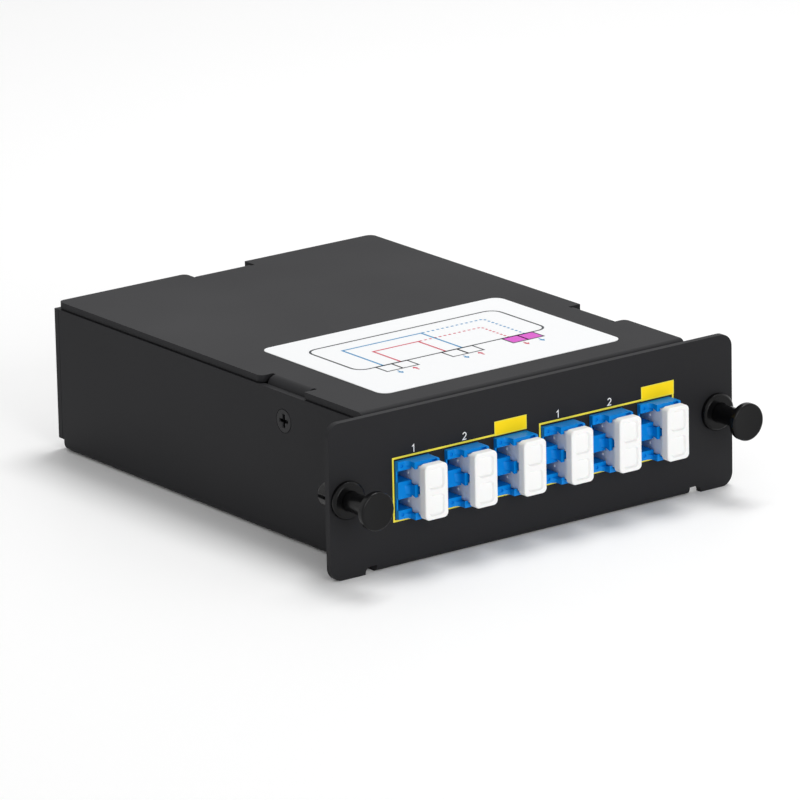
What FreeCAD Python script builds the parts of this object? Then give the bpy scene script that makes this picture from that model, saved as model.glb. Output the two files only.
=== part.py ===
"""Quarter-width fibre cassette, one rack unit high, millimetres.

A folded steel tray with its front panel, a folded cover held by three countersunk screws,
six duplex fibre adapters with dust caps, two push-pull latches and the tap splitters inside.
Origin: centre of the tray's flat underside.  +Z up, the front panel faces -Y.
"""
import FreeCAD
import Part
import Sketcher
import os
import re

SIZES = (
    ("sheet", 1.5, "steel sheet"),
    ("tray_width", 88, "tray over its side walls"),
    ("tray_depth", 118.2, "panel face to rear face"),
    ("wall_height", 32.9, "top of the walls"),
    ("wall_gap", 0.4, "gap between a side wall and the panel ear"),
    ("seam", 0.1, "seam between a side wall and the rear wall"),
    ("bend_outer", 2.0, "outer radius of the wall bends"),
    ("fold_outer", 1.45, "outer radius of the front and rear folds"),
    ("bend_inner", 0.5, "inner radius of the bends"),
    ("corner_relief", 2.75, "height of the reliefs at the ends of the wall bends"),
    ("relief_cut", 0.5, "length of those reliefs along the walls"),
    ("panel_width", 109, "front panel over its ears"),
    ("panel_height", 34.6, "front panel, flush with the cover"),
    ("panel_corner", 3.0, "panel corner radius"),
    ("relief_radius", 1.5, "arched relief beside the panel fold"),
    ("relief_height", 1.6, "arched relief beside the panel fold"),
    ("cover_width", 87, "cover plate"),
    ("cover_front", 2.8, "cover flange behind the panel face"),
    ("cover_rear", 0.7, "cover edge in front of the rear face"),
    ("flange_drop", 8.1, "height of the cover's front flange"),
    ("fit_gap", 0.05, "gap between folded lugs and walls"),
    ("notch_length", 16.0, "side notch of the cover"),
    ("notch_depth", 3.3, "side notch of the cover"),
    ("notch_centre", -27.6, "side notch of the cover, along the depth"),
    ("notch_round", 1.3, "one outer corner of each notch"),
    ("rear_notch_length", 16.5, "rear notch of the cover"),
    ("rear_notch_depth", 4.0, "rear notch of the cover"),
    ("rear_notch_centre", -0.55, "rear notch of the cover"),
    ("lug_slit", 1.0, "slit beside each lug"),
    ("lug_drop", 12.5, "length of each lug below the cover face"),
    ("screw_depth", -28.4, "side screws, along the depth"),
    ("screw_height", 26.6, "all three screws"),
    ("screw_head", 5.4, "countersunk head diameter"),
    ("screw_shank", 3.0, "thread diameter"),
    ("screw_length", 5.0, "screw over its head"),
    ("screw_hole", 3.2, "clearance hole"),
    ("screw_point", 0.4, "chamfer at the screw's end"),
    ("cross_wide", 0.62, "cross recess of the screw"),
    ("cross_long", 2.9, "cross recess of the screw"),
    ("cross_deep", 1.1, "cross recess of the screw"),
    ("port_height", 17.1, "adapter centres"),
    ("port_pitch", 13.15, "adapter to adapter in a group of three"),
    ("group_spacing", 39.1, "group to group"),
    ("collar_width", 9.3, "adapter collar"),
    ("collar_tall", 12.72, "adapter collar"),
    ("collar_step", 1.1, "collar in front of the panel"),
    ("collar_rim", 0.5, "collar where the latch slots run to its edge"),
    ("rim_wall", 0.3, "collar left outside the latch slots"),
    ("nose_reach", 3.45, "adapter nose in front of the panel"),
    ("nose_left", 1.95, "latch side of the nose from the adapter centre"),
    ("nose_cove", 1.1, "hollow rounding from the collar to the nose"),
    ("core_width", 8.7, "adapter body behind the panel"),
    ("core_tall", 12.12, "adapter body behind the panel"),
    ("core_length", 21.7, "adapter body behind the panel face"),
    ("core_middle", 9.2, "optical mid-plane behind the panel face"),
    ("middle_wall", 2.0, "wall between front and rear cavities"),
    ("cutout_gap", 0.05, "play round the body in its panel hole"),
    ("plug_pitch", 6.25, "plug to plug in a duplex port"),
    ("plug_centre", 1.3, "plug axis from the adapter centre"),
    ("cavity_wide", 4.8, "plug cavity"),
    ("cavity_tall", 4.75, "plug cavity"),
    ("slot_collar", 2.5, "latch slot through the collar"),
    ("slot_window", 4.35, "latch window behind the shoulders"),
    ("slot_nose", 3.45, "latch slot between the shoulders at the nose"),
    ("shoulder", 1.4, "depth of the sloping shoulders"),
    ("slot_reach", 3.5, "latch slot behind the panel face"),
    ("nose_round", 0.6, "rounded corners away from the latch side"),
    ("dimple_inset", 1.0, "round dimples from the collar's edges"),
    ("dimple_radius", 0.42, "round dimples of the collar"),
    ("dimple_deep", 0.3, "round dimples of the collar"),
    ("core_pocket_x", 3.3, "moulding recess in the nose, from the adapter centre"),
    ("core_pocket_wide", 1.35, "moulding recess in the nose"),
    ("core_pocket_tall", 0.55, "moulding recess in the nose"),
    ("core_pocket_deep", 0.8, "moulding recess in the nose"),
    ("sleeve_length", 6.8, "ceramic alignment sleeve"),
    ("sleeve_outer", 1.66, "ceramic alignment sleeve"),
    ("sleeve_inner", 1.27, "ceramic alignment sleeve"),
    ("sleeve_slit", 0.25, "slit along the sleeve"),
    ("holder_bore", 1.76, "sleeve holder bore"),
    ("holder_outer", 2.8, "sleeve holder"),
    ("holder_length", 7.8, "sleeve holder"),
    ("ferrule", 1.25, "plug ferrule"),
    ("cap_centre", 1.5, "dust cap block from the adapter centre"),
    ("cap_width", 6.0, "dust cap block"),
    ("cap_tall", 12.1, "dust cap block"),
    ("cap_face", 6.6, "dust cap face in front of the panel"),
    ("cap_block", 2.0, "dust cap block thickness"),
    ("cap_corner", 1.1, "dust cap corner radius"),
    ("cap_dish_wide", 3.9, "recess in the cap face"),
    ("cap_dish_tall", 4.7, "recess in the cap face"),
    ("cap_dish_pitch", 5.8, "recess to recess"),
    ("cap_dish_deep", 0.45, "recess in the cap face"),
    ("cap_dish_corner", 0.9, "corners of the recess"),
    ("cap_edge", 0.45, "rounding of the cap's long edges"),
    ("prong", 4.5, "square prong of the dust cap"),
    ("prong_tip", 4.8, "prong tip behind the panel face"),
    ("prong_lead", 0.35, "chamfer round the prong tip"),
    ("prong_bore", 1.45, "radius of the blind bore in the prong"),
    ("prong_bore_deep", 5.5, "blind bore in the prong"),
    ("nub_radius", 0.35, "grip nub on the prong"),
    ("nub_rise", 0.14, "grip nub on the prong"),
    ("clip_sheet", 0.3, "spring steel of the adapter clip"),
    ("clip_front", 1.7, "clip from the panel face"),
    ("clip_length", 5.2, "clip saddle"),
    ("clip_wing", 4.0, "width of a clip wing"),
    ("clip_spread", 1.3, "wing tip above the saddle"),
    ("latch_spacing", 100, "latch to latch"),
    ("latch_height", 17.55, "latch axes"),
    ("latch_hole", 3.1, "radius of the panel hole"),
    ("latch_neck", 3.0, "radius of the grommet in the panel"),
    ("latch_flange", 4.2, "radius of the grommet flange"),
    ("latch_flange_thick", 1.4, "grommet flange"),
    ("latch_leg", 2.8, "radius of the grommet legs"),
    ("latch_reach", 8.0, "grommet legs behind the panel face"),
    ("leg_slot", 0.8, "slot between the grommet legs"),
    ("leg_taper", 1.6, "length of the legs' tapered ends"),
    ("leg_point", 0.9, "radius that the taper takes off"),
    ("flange_edge", 0.5, "bevel of the grommet flange"),
    ("stem_stop", 0.4, "depth of the stem's bore past the travel"),
    ("stem_radius", 2.15, "plunger stem"),
    ("pin_radius", 1.4, "plunger pin"),
    ("latch_play", 0.06, "radial play of the plunger"),
    ("knob_radius", 4.2, "plunger head"),
    ("knob_face", 11.2, "plunger head in front of the panel when pulled"),
    ("knob_thick", 1.5, "plunger head"),
    ("knob_edge", 0.4, "bevel of the plunger head"),
    ("knob_flare", 1.6, "length of the flare behind the head"),
    ("pin_tip", 3.0, "pin tip behind the panel face when pulled"),
    ("latch_travel", 5.0, "plunger travel"),
    ("plug_body", 4.5, "inner plug"),
    ("plug_length", 11.0, "inner plug housing"),
    ("plug_gap", 3.2, "from the middle wall to the plug housing"),
    ("plug_collar", 1.1, "radius of the ferrule collar"),
    ("plug_collar_long", 0.3, "ferrule collar"),
    ("boot_length", 7.0, "inner plug boot"),
    ("boot_wide", 1.6, "boot radius at the housing"),
    ("boot_slim", 0.9, "boot radius at the fibre"),
    ("splitter_radius", 1.5, "splitter tube"),
    ("splitter_length", 44, "splitter tube"),
    ("splitter_pitch", 4.2, "tube to tube in the holder"),
    ("splitter_rise", 1.0, "splitter tubes above the floor"),
    ("holder_depth", 40, "splitter holder, along the depth"),
    ("holder_play", 0.01, "radial play of a tube in its groove"),
    ("mouth_half", 1.2, "half the width of a groove's mouth"),
    ("mouth_low", 2.4, "mouth above the tubes' underside"),
    ("spool_radius", 15.5, "fibre guide wall, inside the fibres"),
    ("spool_spread", 21.5, "fibre guides from the middle"),
    ("spool_depth", 5.0, "fibre guides, along the depth"),
    ("spool_height", 9.0, "fibre guide wall"),
    ("spool_wall", 1.2, "fibre guide wall"),
    ("spool_foot", 1.0, "thickness of the guide's foot"),
    ("foot_out", 3.2, "foot outside the wall"),
    ("foot_in", 4.0, "foot inside the wall"),
    ("tab", 4.0, "square retaining tab"),
    ("tab_thick", 1.0, "retaining tab"),
    ("coil_radius", 1.3, "half the thickness of the bundle of coiled fibres"),
    ("coil_bevel", 0.7, "bevelled edges of the bundle"),
    ("label_left", -32.0, "wiring label"),
    ("label_right", 33.0, "wiring label"),
    ("label_front", 11.0, "wiring label behind the panel face"),
    ("label_back", 56.0, "wiring label behind the panel face"),
    ("label_corner", 4.0, "wiring label corner radius"),
    ("label_film", 0.12, "wiring label film"),
)
ALIASES = {alias for alias, _, _ in SIZES}
ADAPTERS = range(1, 7)
PORTS = (-0.5, 0.5)
NEAR = 0.02
ALONG_Y = FreeCAD.Placement(FreeCAD.Vector(), FreeCAD.Rotation(FreeCAD.Vector(1, 0, 0), -90))


def make_sheet(doc):
    """Put the driving dimensions into a spreadsheet with one alias each."""
    sheet = doc.addObject("Spreadsheet::Sheet", "Sizes")
    for row, (alias, value, note) in enumerate(SIZES, start=1):
        sheet.set(f"A{row}", note)
        sheet.set(f"B{row}", str(value))
        sheet.setAlias(f"B{row}", alias)
    doc.recompute()
    return sheet


DOC = FreeCAD.newDocument("FibreCassette")
SHEET = make_sheet(DOC)


def bound(text):
    """Turn words that are aliases into references to the sheet."""
    def named(word):
        return "Sizes." + word[0] if word[0] in ALIASES else word[0]

    return re.sub(r"[a-z][a-z_]*", named, str(text))


def size(text):
    """Number that an expression over the sheet gives."""
    return float(SHEET.evalExpression(bound(text)))


# ---------------------------------------------------------------- sketches and features

def new_body(label):
    body = DOC.addObject("PartDesign::Body", label)
    body.Label = label
    return body


def new_sketch(body, plane, at="0"):
    """Sketch on a plane of the body's origin, moved to `at` along the world axis it faces."""
    sketch = body.newObject("Sketcher::SketchObject", "Sketch")
    origin_plane = next(f for f in body.Origin.OriginFeatures if f.Role == plane)
    sketch.AttachmentSupport = [(origin_plane, "")]
    sketch.MapMode = "FlatFace"
    sign = "-" if plane == "XZ_Plane" else ""
    sketch.setExpression("AttachmentOffset.Base.z", f"{sign}({bound(at)})")
    return sketch


def hold_point(sketch, geometry, vertex, x, y):
    """Dimension one vertex from the sketch origin with two expressions."""
    for kind, text in (("DistanceX", x), ("DistanceY", y)):
        index = sketch.addConstraint(Sketcher.Constraint(kind, -1, 1, geometry, vertex, size(text)))
        sketch.setExpression(f"Constraints[{index}]", bound(text))


def polygon(sketch, points):
    """Closed outline through points that are pairs of expressions."""
    first = sketch.GeometryCount
    places = [FreeCAD.Vector(size(x), size(y), 0) for x, y in points]
    for start, end in zip(places, places[1:] + places[:1]):
        sketch.addGeometry(Part.LineSegment(start, end), False)
    for step, (x, y) in enumerate(points):
        after = first + (step + 1) % len(points)
        sketch.addConstraint(Sketcher.Constraint("Coincident", first + step, 2, after, 1))
        hold_point(sketch, first + step, 1, x, y)


def rectangle(sketch, left, low, right, high):
    polygon(sketch, [(left, low), (right, low), (right, high), (left, high)])


def centred(sketch, x, y, width, height):
    """Rectangle about a centre."""
    rectangle(sketch, f"{x} - ({width}) / 2", f"{y} - ({height}) / 2",
              f"{x} + ({width}) / 2", f"{y} + ({height}) / 2")


def circle(sketch, x, y, radius):
    centre = FreeCAD.Vector(size(x), size(y), 0)
    index = sketch.addGeometry(Part.Circle(centre, FreeCAD.Vector(0, 0, 1), size(radius)), False)
    hold_point(sketch, index, 3, x, y)
    rule = sketch.addConstraint(Sketcher.Constraint("Radius", index, size(radius)))
    sketch.setExpression(f"Constraints[{rule}]", bound(radius))


def extrude(body, sketch, kind, length, forward):
    """Pad or Pocket a sketch; forward means towards plus along the world axis."""
    feature = body.newObject(f"PartDesign::{kind}", kind)
    feature.Profile = sketch
    feature.setExpression("Length", bound(length))
    faces_minus = sketch.AttachmentSupport[0][0].Role == "XZ_Plane"
    feature.Reversed = (forward == faces_minus) if kind == "Pad" else (forward != faces_minus)
    return feature


def pad(body, sketch, length, forward=True):
    return extrude(body, sketch, "Pad", length, forward)


def pocket(body, sketch, length, forward=True):
    """Cut, and make sure that the cut took something away."""
    DOC.recompute()
    before = body.Shape.Volume
    feature = extrude(body, sketch, "Pocket", length, forward)
    DOC.recompute()
    if body.Shape.Volume > before - NEAR * NEAR:
        raise RuntimeError(f"{body.Label}: {feature.Name} cuts nothing")
    return feature


def revolve(body, sketch, axis, kind="Revolution"):
    """Turn a sketch once round one of the body's origin axes."""
    feature = body.newObject(f"PartDesign::{kind}", kind)
    feature.Profile = sketch
    origin_axis = next(f for f in body.Origin.OriginFeatures if f.Role == axis)
    feature.ReferenceAxis = (origin_axis, [""])
    feature.Angle = 360
    return feature


def edges_where(body, along, both="", **places):
    """Names of the tip's straight edges along an axis whose middle has the given coordinates.

    Axes listed in `both` are matched without their sign, for both halves of a symmetric piece.
    """
    names = []
    for index, edge in enumerate(body.Tip.Shape.Edges, start=1):
        if not isinstance(edge.Curve, Part.Line):
            continue
        first, last = edge.Vertexes[0].Point, edge.Vertexes[-1].Point
        if abs(getattr(last - first, along)) < edge.Length - NEAR:
            continue
        middle = (first + last) * 0.5
        for axis, text in places.items():
            place, target = getattr(middle, axis), size(text)
            if axis in both:
                place, target = abs(place), abs(target)
            if abs(place - target) > NEAR:
                break
        else:
            names.append(f"Edge{index}")
    return names


def round_hole_edges(body, radius, **place):
    """Names of the tip's circular edges with a radius and a centre coordinate."""
    targets = {axis: size(text) for axis, text in place.items()}
    names = []
    for index, edge in enumerate(body.Tip.Shape.Edges, start=1):
        curve = edge.Curve
        if not isinstance(curve, Part.Circle) or abs(curve.Radius - size(radius)) > NEAR:
            continue
        if all(abs(getattr(curve.Center, axis) - at) < NEAR for axis, at in targets.items()):
            names.append(f"Edge{index}")
    return names


def dress(body, kind, dimension, length, names):
    """Fillet or Chamfer on named edges of the body's tip."""
    if not names:
        raise RuntimeError(f"{body.Label}: no edge found for {kind}")
    base = body.Tip
    feature = body.newObject(f"PartDesign::{kind}", kind)
    feature.Base = (base, names)
    feature.setExpression(dimension, bound(length))
    DOC.recompute()
    if "Invalid" in feature.State or not feature.Shape.isValid():
        raise RuntimeError(f"{body.Label}: {kind} of {length} fails on {names}")
    return feature


def place(piece, x="0", y="0", z="0"):
    """Bind the placement of a sub-part to the sheet."""
    for axis, text in zip("xyz", (x, y, z)):
        piece.setExpression(f"Placement.Base.{axis}", bound(text))
    return piece


def adapter_x(number):
    """Centre of an adapter: two groups of three, evenly spaced about the middle."""
    group, seat = divmod(number - 1, 3)
    return f"({group - 0.5}) * group_spacing + ({seat - 1}) * port_pitch"


# ---------------------------------------------------------------- folded sheet metal

FRONT = "(-tray_depth / 2)"
REAR = "(tray_depth / 2)"


def make_tray():
    """Floor, two side walls, rear wall and front panel, folded from one sheet."""
    body = new_body("base_tray")
    side = "(tray_width / 2)"
    inside = "(tray_width / 2 - sheet)"
    fold_end = "(tray_width / 2 - relief_radius)"
    strip = "(tray_width / 2 - bend_outer)"
    wall_start = "(sheet - tray_depth / 2 + wall_gap)"
    wall_end = "(tray_depth / 2 - sheet - seam)"

    floor = new_sketch(body, "XY_Plane")
    rectangle(floor, f"-{side}", wall_start, side, wall_end)
    pad(body, floor, "sheet")
    walls = new_sketch(body, "XY_Plane")
    rectangle(walls, inside, wall_start, side, wall_end)
    rectangle(walls, f"-{side}", wall_start, f"-{inside}", wall_end)
    pad(body, walls, "wall_height")
    DOC.recompute()
    dress(body, "Fillet", "Radius", "bend_outer", edges_where(body, "y", both="x", x=side, z="0"))
    dress(body, "Fillet", "Radius", "bend_inner", edges_where(body, "y", both="x", x=inside, z="sheet"))

    reliefs = new_sketch(body, "YZ_Plane", f"-{side}")
    rectangle(reliefs, FRONT, "-sheet", f"{wall_start} + relief_cut", "corner_relief")
    rectangle(reliefs, f"{wall_end} - relief_cut", "-sheet", REAR, "corner_relief")
    pocket(body, reliefs, "tray_width")
    tongues = new_sketch(body, "XY_Plane")
    rectangle(tongues, f"-{fold_end}", FRONT, fold_end, f"{wall_start} + relief_cut")
    rectangle(tongues, f"-{strip}", f"{wall_end} - relief_cut", strip, REAR)
    pad(body, tongues, "sheet")

    rear = new_sketch(body, "XZ_Plane", "tray_depth / 2 - sheet")
    half = [(strip, "0"), (strip, "corner_relief"), (side, "corner_relief"), (side, "wall_height")]
    polygon(rear, half + [(f"-({x})", z) for x, z in reversed(half)])
    pad(body, rear, "sheet")

    panel = new_sketch(body, "XZ_Plane", FRONT)
    rectangle(panel, "-panel_width / 2", "0", "panel_width / 2", "panel_height")
    pad(body, panel, "sheet")
    DOC.recompute()
    corners = edges_where(body, "y", both="x", x="panel_width / 2", z="0")
    corners += edges_where(body, "y", both="x", x="panel_width / 2", z="panel_height")
    dress(body, "Fillet", "Radius", "panel_corner", corners)

    holes = new_sketch(body, "XZ_Plane", FRONT)
    for number in ADAPTERS:
        centred(holes, adapter_x(number), "port_height",
                "core_width + 2 * cutout_gap", "core_tall + 2 * cutout_gap")
    for sign in "-+":
        circle(holes, f"{sign}latch_spacing / 2", "latch_height", "latch_hole")
        centred(holes, f"{sign}tray_width / 2", "0", "2 * relief_radius", "2 * relief_height")
    pocket(body, holes, "sheet")

    side_hole = new_sketch(body, "YZ_Plane", f"-{side}")
    circle(side_hole, "screw_depth", "screw_height", "screw_hole / 2")
    pocket(body, side_hole, "tray_width")
    rear_hole = new_sketch(body, "XZ_Plane", "tray_depth / 2 - sheet")
    circle(rear_hole, "rear_notch_centre", "screw_height", "screw_hole / 2")
    pocket(body, rear_hole, "sheet")
    sink = round_hole_edges(body, "screw_hole / 2", x=side)
    sink += round_hole_edges(body, "screw_hole / 2", x=f"-{side}")
    sink += round_hole_edges(body, "screw_hole / 2", y=REAR)
    dress(body, "Chamfer", "Size", "(screw_head - screw_hole) / 2 + fit_gap", sink)

    dress(body, "Fillet", "Radius", "fold_outer",
          edges_where(body, "x", y=REAR, z="0") + edges_where(body, "x", y=FRONT, z="0", x="0"))
    arches = edges_where(body, "y", both="x", x=f"{fold_end} + 2 * relief_radius", z="relief_height")
    dress(body, "Fillet", "Radius", "relief_radius - seam", arches)
    return body


def lug_section(start, face):
    """Outline of a lug: a strip level with the plate from `start`, turned down along `face`."""
    low, inner = "panel_height - lug_drop", "panel_height - sheet"
    return [(f"{start} - sheet", "panel_height"), (face, "panel_height"), (face, low),
            (f"{face} - sheet", low), (f"{face} - sheet", inner), (f"{start} - sheet", inner)]


def make_cover():
    """Flat plate with a front flange and three screw lugs folded down inside the walls."""
    body = new_body("top_cover")
    half = "(cover_width / 2)"
    front = "(cover_front - tray_depth / 2)"
    rear = "(tray_depth / 2 - cover_rear)"
    notch_in = "(cover_width / 2 - notch_depth)"
    notch_low = "(notch_centre - notch_length / 2)"
    notch_high = "(notch_centre + notch_length / 2)"
    rear_left = "(rear_notch_centre - rear_notch_length / 2)"
    rear_right = "(rear_notch_centre + rear_notch_length / 2)"
    rear_in = "(tray_depth / 2 - cover_rear - rear_notch_depth)"
    side_face = "(tray_width / 2 - sheet - fit_gap)"
    rear_face = "(tray_depth / 2 - sheet - fit_gap)"

    plate = new_sketch(body, "XY_Plane", "panel_height - sheet")
    side = [(half, front), (half, notch_low), (notch_in, notch_low), (notch_in, notch_high),
            (half, notch_high), (half, rear)]
    back = [(rear_right, rear), (rear_right, rear_in), (rear_left, rear_in), (rear_left, rear)]
    polygon(plate, side + back + [(f"-{x}", y) for x, y in reversed(side)])
    pad(body, plate, "sheet")

    flange = new_sketch(body, "XZ_Plane", front)
    rectangle(flange, f"fit_gap - {side_face}", "panel_height - flange_drop",
              f"{side_face} - fit_gap", "panel_height")
    pad(body, flange, "sheet")

    low, inner = "panel_height - lug_drop", "panel_height - sheet"
    for sign in "-+":
        strip = new_sketch(body, "XZ_Plane", f"{notch_low} + lug_slit")
        polygon(strip, [(f"{sign}({across})", z) for across, z in lug_section(notch_in, side_face)])
        pad(body, strip, "notch_length - 2 * lug_slit")
    strip = new_sketch(body, "YZ_Plane", f"{rear_left} + lug_slit")
    polygon(strip, lug_section(rear_in, rear_face))
    pad(body, strip, "rear_notch_length - 2 * lug_slit")
    DOC.recompute()

    side_bend = f"{side_face} - {notch_in}"
    rear_bend = f"{rear_face} - {rear_in}"
    dress(body, "Fillet", "Radius", side_bend,
          edges_where(body, "y", both="x", x=side_face, z="panel_height"))
    dress(body, "Fillet", "Radius", f"{side_bend} - sheet",
          edges_where(body, "y", both="x", x=f"{side_face} - sheet", z=inner))
    dress(body, "Fillet", "Radius", rear_bend,
          edges_where(body, "x", y=rear_face, z="panel_height"))
    dress(body, "Fillet", "Radius", f"{rear_bend} - sheet",
          edges_where(body, "x", y=f"{rear_face} - sheet", z=inner))
    dress(body, "Fillet", "Radius", "fold_outer - fit_gap",
          edges_where(body, "x", y=front, z="panel_height", x="0"))
    dress(body, "Fillet", "Radius", "bend_inner", edges_where(body, "x", y=f"{front} + sheet", z=inner))

    rounded = edges_where(body, "z", x=f"-{half}", y=notch_high)
    rounded += edges_where(body, "z", x=half, y=notch_low)
    rounded += edges_where(body, "z", x=rear_left, y=rear)
    rounded += edges_where(body, "y", both="x", x=f"{side_face} - sheet / 2", z=low)
    dress(body, "Fillet", "Radius", "notch_round", rounded)

    threads = new_sketch(body, "YZ_Plane", "-cover_width / 2")
    circle(threads, "screw_depth", "screw_height", "screw_shank / 2 + fit_gap")
    pocket(body, threads, "cover_width")
    rear_thread = new_sketch(body, "XZ_Plane", f"{rear_face} - sheet")
    circle(rear_thread, "rear_notch_centre", "screw_height", "screw_shank / 2 + fit_gap")
    pocket(body, rear_thread, "sheet")
    return body


def make_screw(label, x, y, turn):
    """Countersunk cross-head screw along +Z, head face at its origin, turned into its wall."""
    body = new_body(label)
    half = new_sketch(body, "XZ_Plane")
    head, shank = "(screw_head / 2)", "(screw_shank / 2)"
    polygon(half, [("0", "0"), (head, "0"), (shank, f"{shank} - {head}"),
                   (shank, "screw_point - screw_length"),
                   (f"{shank} - screw_point", "-screw_length"), ("0", "-screw_length")])
    revolve(body, half, "Z_Axis")
    for wide, tall in (("cross_wide", "cross_long"), ("cross_long", "cross_wide")):
        slot = new_sketch(body, "XY_Plane")
        centred(slot, "0", "0", wide, tall)
        pocket(body, slot, "cross_deep", forward=False)
    body.Placement = FreeCAD.Placement(FreeCAD.Vector(), FreeCAD.Rotation(*turn))
    return place(body, x, y, "screw_height")


# ---------------------------------------------------------------- duplex adapters

def make_adapter(number):
    """Duplex adapter: collar and nose in front of the panel, body with sleeve holders behind.

    The latch side faces -X, where the collar runs into the nose by a cove.  Each plug's latch
    has a slot there: narrow through the collar, a window behind the nose, and sloping shoulders
    in front of it that the latch snaps behind.  A thin rim closes the slots on the panel.
    """
    body = new_body(f"adapter_{number}")
    nose = "(-nose_reach)"
    latch_wall = "(plug_centre - cavity_wide / 2)"

    collar = new_sketch(body, "XZ_Plane")
    centred(collar, "0", "0", "collar_width", "collar_tall")
    pad(body, collar, "collar_step", forward=False)
    front = new_sketch(body, "XZ_Plane")
    rectangle(front, "-nose_left", "-collar_tall / 2", "collar_width / 2", "collar_tall / 2")
    pad(body, front, "nose_reach", forward=False)
    DOC.recompute()
    dress(body, "Fillet", "Radius", "nose_cove",
          edges_where(body, "z", x="-nose_left", y="-collar_step"))
    core = new_sketch(body, "XZ_Plane")
    centred(core, "0", "0", "core_width", "core_tall")
    pad(body, core, "core_length")

    front_wall, back_wall = "(core_middle - middle_wall / 2)", "(core_middle + middle_wall / 2)"
    for start, length in ((nose, f"{front_wall} + nose_reach"),
                          (back_wall, f"core_length - {back_wall}")):
        cavities = new_sketch(body, "XZ_Plane", start)
        for port in PORTS:
            centred(cavities, "plug_centre", f"{port} * plug_pitch", "cavity_wide", "cavity_tall")
        pocket(body, cavities, length)

    back, step, behind = "(slot_reach)", "(-collar_step)", "(shoulder - nose_reach)"
    latches = new_sketch(body, "YZ_Plane", f"{latch_wall} + {NEAR}")
    inner = new_sketch(body, "XZ_Plane", "-collar_rim")
    for port in PORTS:
        middle = f"{port} * plug_pitch"
        outline = [(step, "slot_collar"), (step, "slot_window"), (behind, "slot_window"),
                   (nose, "slot_nose")]
        sides = [(y, f"{middle} + {tall} / 2") for y, tall in outline]
        sides += [(y, f"{middle} - {tall} / 2") for y, tall in reversed(outline)]
        ends = [("-collar_rim", f"{middle} {sign} slot_collar / 2") for sign in "-+"]
        polygon(latches, sides + ends)
        rectangle(inner, "rim_wall - collar_width / 2", f"{middle} - slot_collar / 2",
                  f"{latch_wall} + {NEAR}", f"{middle} + slot_collar / 2")
    pocket(body, latches, "collar_width / 2", forward=False)
    pocket(body, inner, f"{back} + collar_rim")

    holders = new_sketch(body, "XZ_Plane", "core_middle - holder_length / 2")
    for port in PORTS:
        circle(holders, "plug_centre", f"{port} * plug_pitch", "holder_outer / 2")
    pad(body, holders, "holder_length")
    bores = new_sketch(body, "XZ_Plane", "core_middle - holder_length / 2")
    for port in PORTS:
        circle(bores, "plug_centre", f"{port} * plug_pitch", "holder_bore / 2")
    pocket(body, bores, "holder_length")

    marks = new_sketch(body, "XZ_Plane", "-collar_step")
    for sign in "-+":
        circle(marks, "dimple_inset - collar_width / 2", f"{sign}(collar_tall / 2 - dimple_inset)",
               "dimple_radius")
    pocket(body, marks, "dimple_deep")
    cores = new_sketch(body, "XZ_Plane", nose)
    for sign in "-+":
        centred(cores, "core_pocket_x", f"{sign}(collar_tall + cavity_tall + plug_pitch) / 4",
                "core_pocket_wide", "core_pocket_tall")
    pocket(body, cores, "core_pocket_deep")
    dress(body, "Fillet", "Radius", "nose_round",
          edges_where(body, "y", both="z", x="collar_width / 2", z="collar_tall / 2"))
    return place(body, adapter_x(number), FRONT, "port_height")


def make_clip(number):
    """Spring-steel saddle on the adapter body, with two wings that bear on the panel."""
    body = new_body(f"adapter_clip_{number}")
    saddle = new_sketch(body, "XZ_Plane", "clip_front")
    right, top = "(core_width / 2 + clip_sheet)", "(core_tall / 2 + clip_sheet)"
    end = "-core_width / 4"
    polygon(saddle, [(end, top), (end, "core_tall / 2"), ("core_width / 2", "core_tall / 2"),
                     ("core_width / 2", "-core_tall / 2"), (end, "-core_tall / 2"), (end, f"-{top}"),
                     (right, f"-{top}"), (right, top)])
    pad(body, saddle, "clip_length")
    for sign in "-+":
        wing = new_sketch(body, "YZ_Plane", "-clip_wing / 2")
        back = "(clip_front + clip_length)"
        polygon(wing, [(back, f"{sign}core_tall / 2"), (back, f"{sign}{top}"),
                       ("clip_front", f"{sign}({top} + clip_spread)"),
                       ("clip_front", f"{sign}({top} + clip_spread - clip_sheet)")])
        pad(body, wing, "clip_wing")
    return place(body, adapter_x(number), FRONT, "port_height")


def make_sleeves(number):
    """Two slit ceramic tubes in the adapter's sleeve holders."""
    tubes = []
    for port in PORTS:
        tube = []
        for radius in ("sleeve_outer / 2", "sleeve_inner / 2"):
            bar = DOC.addObject("Part::Cylinder", "SleeveBar")
            bar.setExpression("Radius", bound(radius))
            bar.setExpression("Height", bound("sleeve_length"))
            tube.append(bar)
        wall = DOC.addObject("Part::Cut", "SleeveWall")
        wall.Base, wall.Tool = tube
        slit = DOC.addObject("Part::Box", "SleeveSlit")
        slit.setExpression("Length", bound("sleeve_outer"))
        slit.setExpression("Width", bound("sleeve_slit"))
        slit.setExpression("Height", bound("sleeve_length"))
        place(slit, "0", "-sleeve_slit / 2", "0")
        sleeve = DOC.addObject("Part::Cut", "Sleeve")
        sleeve.Base, sleeve.Tool = wall, slit
        sleeve.Placement = ALONG_Y
        place(sleeve, "plug_centre", "core_middle - sleeve_length / 2", f"{port} * plug_pitch")
        tubes.append(sleeve)
    return gather(f"alignment_sleeves_{number}", tubes, adapter_x(number), FRONT, "port_height")


def gather(label, members, x="0", y="0", z="0"):
    """One named sub-part made of separate solids."""
    group = DOC.addObject("Part::Compound", label)
    group.Label = label
    group.Links = members
    return place(group, x, y, z)


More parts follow.
